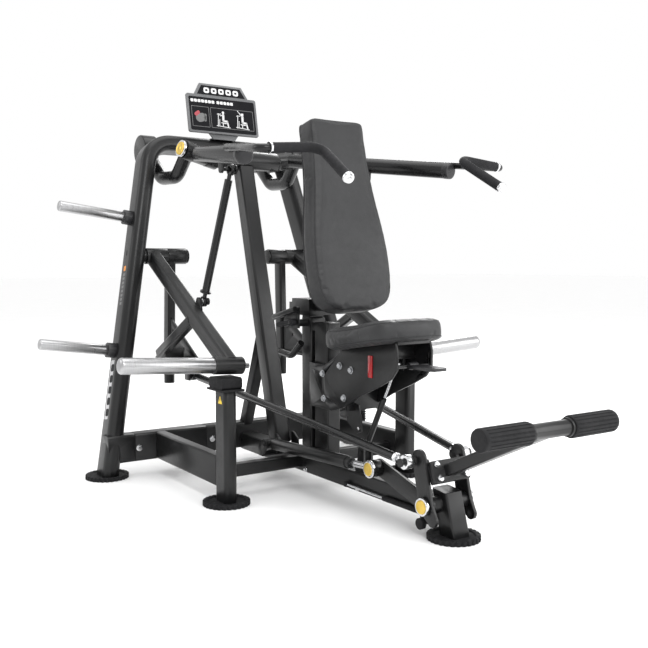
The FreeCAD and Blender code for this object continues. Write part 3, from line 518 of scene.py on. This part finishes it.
# ---- pads -----------------------------------------------------------------------------
def smooth_loop(points, per_span):
    """Closed Catmull-Rom curve through the points."""
    out = []
    count = len(points)
    for i in range(count):
        p0, p1, p2, p3 = (Vector(points[(i + k) % count]) for k in (-1, 0, 1, 2))
        for k in range(per_span):
            t = k / per_span
            out.append(0.5 * ((2 * p1) + (p2 - p0) * t + (2 * p0 - 5 * p1 + 4 * p2 - p3) * t * t
                              + (3 * p1 - p0 - 3 * p2 + p3) * t ** 3))
    return out


def pad_shell(name, loop, profile, place):
    """Crowned closed form: the loop is pulled in by each profile step, then closed in the middle."""
    centre = sum(loop, Vector((0, 0))) / len(loop)
    verts, faces = [], []
    steps = len(loop)
    for inset, height in profile:
        for p in loop:
            arm = p - centre
            q = centre + arm * max(0.02, 1 - inset / arm.length)
            verts.append(place(q.x, q.y, height))
    rings = len(profile)
    for k in range(rings - 1):
        for i in range(steps):
            j = (i + 1) % steps
            faces.append((k * steps + i, k * steps + j, (k + 1) * steps + j, (k + 1) * steps + i))
    faces += [tuple(reversed(range(steps))), tuple(range((rings - 1) * steps, rings * steps))]
    mesh = bpy.data.meshes.new(name)
    mesh.from_pydata([tuple(v) for v in verts], [], faces)
    o = bpy.data.objects.new(name, mesh)
    bpy.context.scene.collection.objects.link(o)
    return o


def apply_modifiers(o):
    depsgraph = bpy.context.evaluated_depsgraph_get()
    done = bpy.data.meshes.new_from_object(o.evaluated_get(depsgraph), depsgraph=depsgraph)
    o.modifiers.clear()
    o.data = done


def inflate(o, cap, voxel=0.004, pressure=4.0):
    """Remeshes the pad evenly and lets air pressure round it, no point moving more than cap."""
    remesh = o.modifiers.new("remesh", "REMESH")
    remesh.mode = "VOXEL"
    remesh.voxel_size = voxel
    apply_modifiers(o)
    start = [v.co.copy() for v in o.data.vertices]
    cloth = o.modifiers.new("cloth", "CLOTH")
    cloth.settings.quality = 6
    cloth.settings.mass = 0.4
    cloth.settings.tension_stiffness = 60
    cloth.settings.compression_stiffness = 60
    cloth.settings.bending_stiffness = 8
    cloth.settings.use_pressure = True
    cloth.settings.uniform_pressure_force = pressure
    cloth.settings.effector_weights.gravity = 0.0
    cloth.collision_settings.use_collision = False
    cloth.point_cache.frame_start = 1
    cloth.point_cache.frame_end = 20
    for f in range(1, 21):
        bpy.context.scene.frame_set(f)
    apply_modifiers(o)
    for v, before in zip(o.data.vertices, start):
        move = v.co - before
        if move.length > cap:
            v.co = before + move * cap / move.length
    bpy.context.scene.frame_set(1)
    smooth = o.modifiers.new("smooth", "SMOOTH")
    smooth.factor = 0.5
    smooth.iterations = 2
    fine = o.modifiers.new("fine", "SUBSURF")
    fine.levels = 1
    fine.render_levels = 1
    apply_modifiers(o)
    o.data.shade_smooth()
    return o


def piping(name, pad, loop, inset, height, place, radius, body):
    """Seam sewn round the pad, laid on its surface."""
    centre = sum(loop, Vector((0, 0))) / len(loop)
    points = []
    for p in loop:
        arm = p - centre
        q = centre + arm * (1 - inset / arm.length)
        points.append(pad.closest_point_on_mesh(place(q.x, q.y, height))[1])
    curve = bpy.data.curves.new(name, "CURVE")
    curve.dimensions = "3D"
    curve.bevel_depth = radius / 1000
    curve.bevel_resolution = 3
    spline = curve.splines.new("POLY")
    spline.points.add(len(points) - 1)
    for spot, p in zip(spline.points, points):
        spot.co = (*p, 1)
    spline.use_cyclic_u = True
    made = bpy.data.objects.new(name + "_curve", curve)
    bpy.context.scene.collection.objects.link(made)
    bpy.context.view_layer.update()
    depsgraph = bpy.context.evaluated_depsgraph_get()
    mesh = bpy.data.meshes.new_from_object(made.evaluated_get(depsgraph))
    bpy.data.objects.remove(made)
    o = bpy.data.objects.new(name, mesh)
    bpy.context.scene.collection.objects.link(o)
    mesh.materials.clear()
    mesh.materials.append(PIPING)
    mesh.shade_smooth()
    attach(o, body)
    return o


def finish_pad(o, node, body):
    o.data.materials.clear()
    o.data.materials.append(LEATHER)
    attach(o, body)
    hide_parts(node)


BACK_LEAN = math.atan2(124, 577)
BACK_TOP = at(0, 571, 1219)
BACK_THICK = 76
back_down = Vector((0, -math.sin(BACK_LEAN), -math.cos(BACK_LEAN)))
back_out = Vector((0, -math.cos(BACK_LEAN), math.sin(BACK_LEAN)))
# half widths down the front face, in millimetres from the top
BACK_HALF = ((4, 96), (16, 101), (60, 104), (127, 107), (202, 113), (269, 122), (336, 133), (402, 141),
             (468, 144), (530, 140), (570, 131), (598, 112), (614, 82))


def back_place(u, v, h):
    return BACK_TOP + X * u / 1000 + back_down * v / 1000 + back_out * (h - BACK_THICK) / 1000


def backrest():
    right = [(-w, s) for s, w in BACK_HALF]
    left = [(w, s) for s, w in reversed(BACK_HALF)]
    top = [(70, 0), (0, -0.5), (-70, 0)]
    loop = smooth_loop(right + [(-40, 621), (40, 621)] + left + top, 5)
    profile = [(60, 1), (16, 0.5), (4, 0.6), (1, 2.5), (0, 8), (-0.5, 36), (0, 66), (1, 72), (3, 75),
               (8, 76.5), (40, 78), (75, 78.5)]
    pad = pad_shell("backrest_cushion", loop, profile, back_place)
    inflate(pad, 0.003)
    finish_pad(pad, "backrest_pad", "backrest")
    piping("backrest_front_seam", pad, loop, 1.5, 75, back_place, 1.2, "backrest")
    piping("backrest_welt", pad, loop, -1.0, 9, back_place, 2.0, "backrest")


SEAT_TILT = math.radians(8.8)
SEAT_CORNER = at(0, 157, 538)
seat_back = Vector((0, math.cos(SEAT_TILT), -math.sin(SEAT_TILT)))
seat_up = Vector((0, math.sin(SEAT_TILT), math.cos(SEAT_TILT)))


def seat_place(u, v, h):
    """The top dips a little between the raised nose and the back."""
    dip = h / 62 * 5 * (((v - 150) / 150) ** 2 - 1)
    return SEAT_CORNER + X * u / 1000 + seat_back * v / 1000 + seat_up * (h + min(dip, 0)) / 1000


def seat():
    half = [(-135, 96), (-136, 160), (-135, 238), (-122, 288), (-92, 325), (-40, 333)]
    front = [(-104, 17), (-127, 50)]
    right = front + half
    left = [(-u, v) for u, v in reversed(right)]
    loop = smooth_loop(right + left + [(50, 3), (0, 0), (-50, 3)], 5)
    profile = [(70, 1), (22, 0.5), (5, 0.8), (1, 3), (0, 10), (-1, 28), (0, 46), (3, 54), (9, 60),
               (20, 63.5), (60, 65), (100, 65.5)]
    pad = pad_shell("seat_cushion", loop, profile, seat_place)
    inflate(pad, 0.004)
    finish_pad(pad, "seat_pad", "seat")
    piping("seat_top_seam", pad, loop, 6.0, 57, seat_place, 1.2, "seat")
    piping("seat_welt", pad, loop, -1.0, 9, seat_place, 2.0, "seat")


backrest()
seat()


# ---- foot rollers ---------------------------------------------------------------------
ROLLER_RIBS = 18
RIB_HEIGHT = 1.9
RIB_SHAPE = ((0.0, 0.0), (0.12, 0.0), (0.2, 1.0), (0.8, 1.0), (0.88, 0.0))


def rollers():
    """Sleeves ribbed along their length, with a smooth band and a domed end."""
    for side_name, sign in (("right", -1), ("left", 1)):
        low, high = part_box("foot_roller_" + side_name)
        radius = (high.z - low.z) * 500
        length = (high.x - low.x) * 1000
        centre = Vector((low.x if sign > 0 else high.x, (low.y + high.y) / 2, (low.z + high.z) / 2))
        valley = radius - RIB_HEIGHT
        rings = [(0, radius - 6, 0), (0.6, radius - 2.4, 0), (2.2, valley, 1.0), (5, valley, RIB_HEIGHT),
                 (length * 0.5, valley, RIB_HEIGHT), (length - 14, valley, RIB_HEIGHT),
                 (length - 10, radius - 0.4, 0.2), (length - 4, radius - 0.1, 0),
                 (length - 1.2, radius - 1.4, 0), (length, radius - 4.5, 0),
                 (length, radius - 14, 0), (length - 0.8, 2, 0)]
        verts, faces = [], []
        count = ROLLER_RIBS * len(RIB_SHAPE)
        for along, base, rib in rings:
            for i in range(count):
                share, lift = RIB_SHAPE[i % len(RIB_SHAPE)]
                turn = 2 * math.pi * (i // len(RIB_SHAPE) + share) / ROLLER_RIBS
                r = (base + rib * lift) / 1000
                out = Y * r * math.cos(turn) + Z * r * math.sin(turn)
                verts.append(centre + X * sign * along / 1000 + out)
        for k in range(len(rings) - 1):
            for i in range(count):
                j = (i + 1) % count
                faces.append((k * count + i, k * count + j, (k + 1) * count + j, (k + 1) * count + i))
        faces += [tuple(reversed(range(count))), tuple(range((len(rings) - 1) * count, len(rings) * count))]
        sleeve = add("roller_sleeve_" + side_name, verts, faces, ROLLER_RUBBER,
                     "roller_" + side_name)
        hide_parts("foot_roller_" + side_name)


rollers()


# ---- handles --------------------------------------------------------------------------
HANDLE_CORNER = at(-451, 276, 1064)
HANDLE_BEND = at(-257, 279, 1081)
HANDLE_TIP = at(-278, 116, 984)
ARM_END = at(-393, 471, 1070)
ARM_ROOT = at(-199, 1192, 1160)


def handle(side_name, mirror):
    body = "press_" + side_name
    corner, bend, tip = mirror(HANDLE_CORNER), mirror(HANDLE_BEND), mirror(HANDLE_TIP)
    ring_spot = corner.lerp(bend, 0.18)
    path = refine(bent([ring_spot, bend, tip], 0.035), 0.004)
    total = sum((b - a).length for a, b in zip(path, path[1:])) * 1000

    def sleeve(gone):
        edge = min(gone, total - gone)
        if edge < 2:
            return 13.4 + edge * 0.5
        return 14.4 + (0.35 if 4 < edge < 8 else 0.0)

    sweep("grip_" + side_name, path, sleeve, GRIP_RUBBER, body, 40)
    cap = [(0.2, 12), (0.2, 15.2), (1.0, 16.1), (7.0, 16.1), (8.6, 15.2), (9.5, 13.6), (9.5, 12.8),
           (9.2, 12.4), (9.2, 2.0)]
    lathe("grip_cap_" + side_name, tip, tip - bend, cap, CHROME, body, 48)
    ring = [(0.2, 12), (0.2, 15.4), (0.9, 16.1), (6.1, 16.1), (6.9, 15.4), (6.9, 12)]
    lathe("grip_ring_" + side_name, ring_spot, corner - bend, ring, CHROME, body, 48)
    end, root = mirror(ARM_END), mirror(ARM_ROOT)
    cap = [(-14, 27.2), (-14, 27.9), (5, 27.9), (7.6, 27.0), (9.0, 24.5), (9.6, 20.0), (9.8, 0.5)]
    lathe("arm_end_cap_" + side_name, end, end - root, cap, SMOOTH_PLASTIC, body, 56)


handle("right", lambda p: p)
handle("left", flip)


# ---- sign -----------------------------------------------------------------------------
SIGN_LEAN = math.atan2(29, 152)
SIGN_FOOT = at(0, 1344, 1265)
sign_up = Vector((0, math.sin(SIGN_LEAN), math.cos(SIGN_LEAN)))
sign_out = Vector((0, -math.cos(SIGN_LEAN), math.sin(SIGN_LEAN)))


def border(u0, u1, v0, v1, width):
    corners = ((u0, v0), (u1, v0), (u1, v1), (u0, v1))
    return [stroke(*corners[i], *corners[(i + 1) % 4], width) for i in range(4)]


def figure(cx, cy, scale, raised):
    """A plain seated figure at a press: head, trunk, legs, arms, bench and frame as round strokes."""
    hand = 24 if raised else 10
    parts = [arc(cx, cy + 20 * scale, 4.2 * scale, 0, 360, 14)[:-1]]
    lines = ((0, 13, -1, -5, 7), (-1, -6, 12, -7, 6), (12, -7, 15, -22, 4.5), (0, 12, -10, hand, 3),
             (-10, hand, -16, hand + 6, 2.2), (-16, 16, -20, -24, 2.2), (-24, -22, 20, -26, 2.2),
             (-13, -2, -15, -22, 2), (-7, -12, 8, -13, 3), (-2, -13, -3, -23, 2.5), (-20, 14, -8, 15, 2))
    for u0, v0, u1, v1, w in lines:
        parts.append(stroke(cx + u0 * scale, cy + v0 * scale, cx + u1 * scale, cy + v1 * scale, w * scale))
    return parts


def sign():
    def face(name, outlines, lift, material):
        origin = SIGN_FOOT + sign_out * lift / 1000
        return plate(name, outlines, 0.35, origin, X, sign_up, sign_out, material, "frame")

    face("sign_panel_black", [rounded_box(-144, 144, 8, 143, 6)], 0.15, SIGN_BLACK)
    face("sign_header_black", [[(-106, 155), (106, 155), (85, 192), (-85, 192)]], 0.15, SIGN_BLACK)
    blocks = [rounded_box(u, u + 24, 162, 184, 7) for u in (-76, -44, -12, 20, 52)]
    face("sign_header_marks", blocks, 0.55, PRINT_WHITE)
    cores = [rounded_box(u + 7, u + 17, 169, 177, 3.5) for u in (-76, -44, -12, 20, 52)]
    face("sign_header_cores", cores, 0.95, SIGN_BLACK)
    starts = [-136 + 15 * i for i in range(7)] + [-24 + 15 * i for i in range(5)]
    title = [rounded_box(u, u + 12, 121, 133, 2.5) for u in starts]
    face("sign_title_marks", title, 0.55, PRINT_WHITE)
    borders = border(-135, -62, 24, 104, 1.8) + border(-54, 134, 24, 104, 1.8)
    face("sign_picture_borders", borders, 0.55, PRINT_GREY)
    shoulder = [stroke(-103, 58, -92, 62, 34), stroke(-80, 50, -78, 72, 10)]
    face("sign_picture_body", shoulder, 0.55, PRINT_GREY)
    face("sign_picture_mark", [stroke(-118, 72, -108, 80, 14)], 0.95, PRINT_RED)
    face("sign_figures", figure(0, 62, 1.3, False) + figure(86, 62, 1.3, True), 0.6, PRINT_WHITE)


sign()


# ---- labels ---------------------------------------------------------------------------
LEAN_IN, LEAN_BACK = 0.2132, 0.1763


def labels():
    """Generic marks on the outer face of each upright, and a plain triangle on each side post."""
    for side_name, mirror, sign in (("right", lambda p: p, -1), ("left", flip, 1)):
        foot = mirror(at(-555, 1196, 0))
        top = mirror(at(-555 + LEAN_IN * 1000, 1196 + LEAN_BACK * 1000, 1000))
        up = (top - foot).normalized()
        back = (Y - up * up.dot(Y)).normalized()
        out = back.cross(up) if sign < 0 else up.cross(back)
        out = out if out.x * sign > 0 else -out
        scale = math.sqrt(1 + LEAN_IN ** 2 + LEAN_BACK ** 2)

        def face(name, outlines, material, lift=0.0):
            origin = foot + out * (0.0300 + lift / 1000)
            plate(f"{name}_{side_name}", outlines, 0.4, origin, back, up, out, material, "frame")

        # the slot is a black sheet laid on the upright face, not a hole: its dark inside is painted shade
        face("upright_slot_painted_shade", [rounded_box(-4, 4, 780 * scale, 800 * scale, 3.5)], SIGN_BLACK)
        face("upright_mark_orange", [rounded_box(-9, 9, 724 * scale, 742 * scale, 2)], PRINT_ORANGE)
        marks = [rounded_box(-9, 9, (600 + 15 * i) * scale, (610 + 15 * i) * scale, 1.5) for i in range(8)]
        face("upright_marks_grey", marks, PRINT_GREY)
        strip = [rounded_box(-20, 20, 196 * scale, 402 * scale, 3)]
        face("upright_label_silver", strip, LABEL_SILVER)
        bars = [rounded_box(-13, 13, (206 + 39 * i) * scale, (232 + 39 * i) * scale, 8) for i in range(5)]
        face("upright_label_marks", bars, SIGN_BLACK, 0.4)
        post = mirror(at(-383.2, 652, 334))
        triangle = [(-14, -12), (14, -12), (0, 13)]
        plate("post_triangle_" + side_name, [triangle], 0.4, post, Y, Z, X * sign, PRINT_YELLOW, "frame",
              0.0002)
        inner = [(-1.6, -4), (1.6, -4), (1.6, 5), (-1.6, 5)]
        plate("post_triangle_mark_" + side_name, [inner], 0.3, post + X * sign * 0.0004, Y, Z, X * sign,
              SIGN_BLACK, "frame")


labels()


# ---- small fittings -------------------------------------------------------------------
def fittings():
    """Guard tube, ribbed cover and hanging link by the seat, and the turned faces of the yellow caps."""
    hook = bent([at(-56, 828, 451), at(-60, 749, 444), at(-60, 690, 493)], 0.045)
    sweep("seat_guard_tube", refine(hook, 0.01), lambda gone: 11, ARM_PAINT, "frame", 28)

    def folds(gone):
        return 26 + 3.2 * math.sin(gone * 0.9)

    boot = refine([at(0, 456, 332), at(0, 452, 262)], 0.0018)
    sweep("seat_boot", boot, folds, SMOOTH_PLASTIC, "seat", 36)
    bar = [(-30, 30), (30, 40), (34, -30), (-20, -60), (-44, -52), (-44, -20)]
    plate("seat_hanger", [bar], 4, at(-33, 430, 290), Y, Z, X, PAINT, "seat", 0.0004)
    head = [(0, 5.5), (2.2, 5.5), (2.8, 4.6), (2.8, 0.5)]
    lathe("seat_hanger_pin", at(-33.2, 400, 247), -X, head, CHROME, "seat", 28)
    disc = [(0, 1.0), (0.45, 0.97), (0.45, 0.82), (0.1, 0.8), (0.1, 0.34), (0.8, 0.3), (0.8, 0.02)]
    press_way = Vector((-124, -15, 28)).normalized()
    press_face = at(-151, 1198, 1149) + press_way * 0.121
    for name, spot, way, radius, body in (
            ("press_cap_face_right", press_face, press_way, 22.5, "frame"),
            ("press_cap_face_left", flip(press_face), flip(press_way), 22.5, "frame"),
            ("foot_cap_face_right", at(-92, 34, 94), -X, 17.5, "frame"),
            ("foot_cap_face_left", at(92, 34, 94), X, 17.5, "frame"),
            ("damper_cap_face", at(-108, 252, 158), -X, 18.5, "foot_lever")):
        profile = [(along, radius * share) for along, share in disc]
        lathe(name, spot, way, profile, CAP_YELLOW, body, 40)


fittings()


# ---- stage ----------------------------------------------------------------------------
def stage():
    size = 40.0
    mesh = bpy.data.meshes.new("floor")
    corners = [(-size, -size, 0), (size, -size, 0), (size, size, 0), (-size, size, 0)]
    mesh.from_pydata(corners, [], [(0, 1, 2, 3)])
    floor = bpy.data.objects.new("floor", mesh)
    bpy.context.scene.collection.objects.link(floor)
    s = Shader("floor_white")
    s.colour(s.noise(3.0, 4.0), (0.97, 0.97, 0.97), (0.99, 0.99, 0.99))
    s.rough(s.noise(30.0, 3.0), 0.6, 0.75)
    mesh.materials.append(s.material)

    world = bpy.data.worlds.new("studio")
    bpy.context.scene.world = world
    world.use_nodes = True
    world.node_tree.nodes["Background"].inputs["Color"].default_value = (1, 1, 1, 1)
    world.node_tree.nodes["Background"].inputs["Strength"].default_value = 1.0

    target = at(0, 700, 650)
    lights = (("key", (-900, -3200, 3100), 2.2, 80), ("fill", (2600, -2200, 1700), 2.6, 60),
              ("rim_left", (-3200, 2200, 2400), 1.8, 18), ("rim_right", (2400, 3200, 2600), 1.8, 60),
              ("top", (0, 700, 4200), 3.0, 60))
    for name, place, width, power in lights:
        data = bpy.data.lights.new(name, "AREA")
        data.shape = "SQUARE"
        data.size = width
        data.energy = power
        lamp = bpy.data.objects.new(name, data)
        bpy.context.scene.collection.objects.link(lamp)
        lamp.location = at(*place)
        lamp.rotation_euler = (target - lamp.location).to_track_quat("-Z", "Y").to_euler()


stage()

CAMERA_FOCAL_MM = 48.13
CAMERA_TURN = 33.84
CAMERA_TILT = -4.04
camera = bpy.data.cameras.new("camera")
camera.lens = CAMERA_FOCAL_MM
camera.sensor_width = 36
camera_object = bpy.data.objects.new("camera", camera)
bpy.context.scene.collection.objects.link(camera_object)
camera_object.location = at(-1603.2, -1748.8, 760)
camera_object.rotation_euler = (math.radians(90 + CAMERA_TILT), 0, math.radians(-CAMERA_TURN))
bpy.context.scene.camera = camera_object
bpy.context.scene.view_settings.view_transform = "Standard"
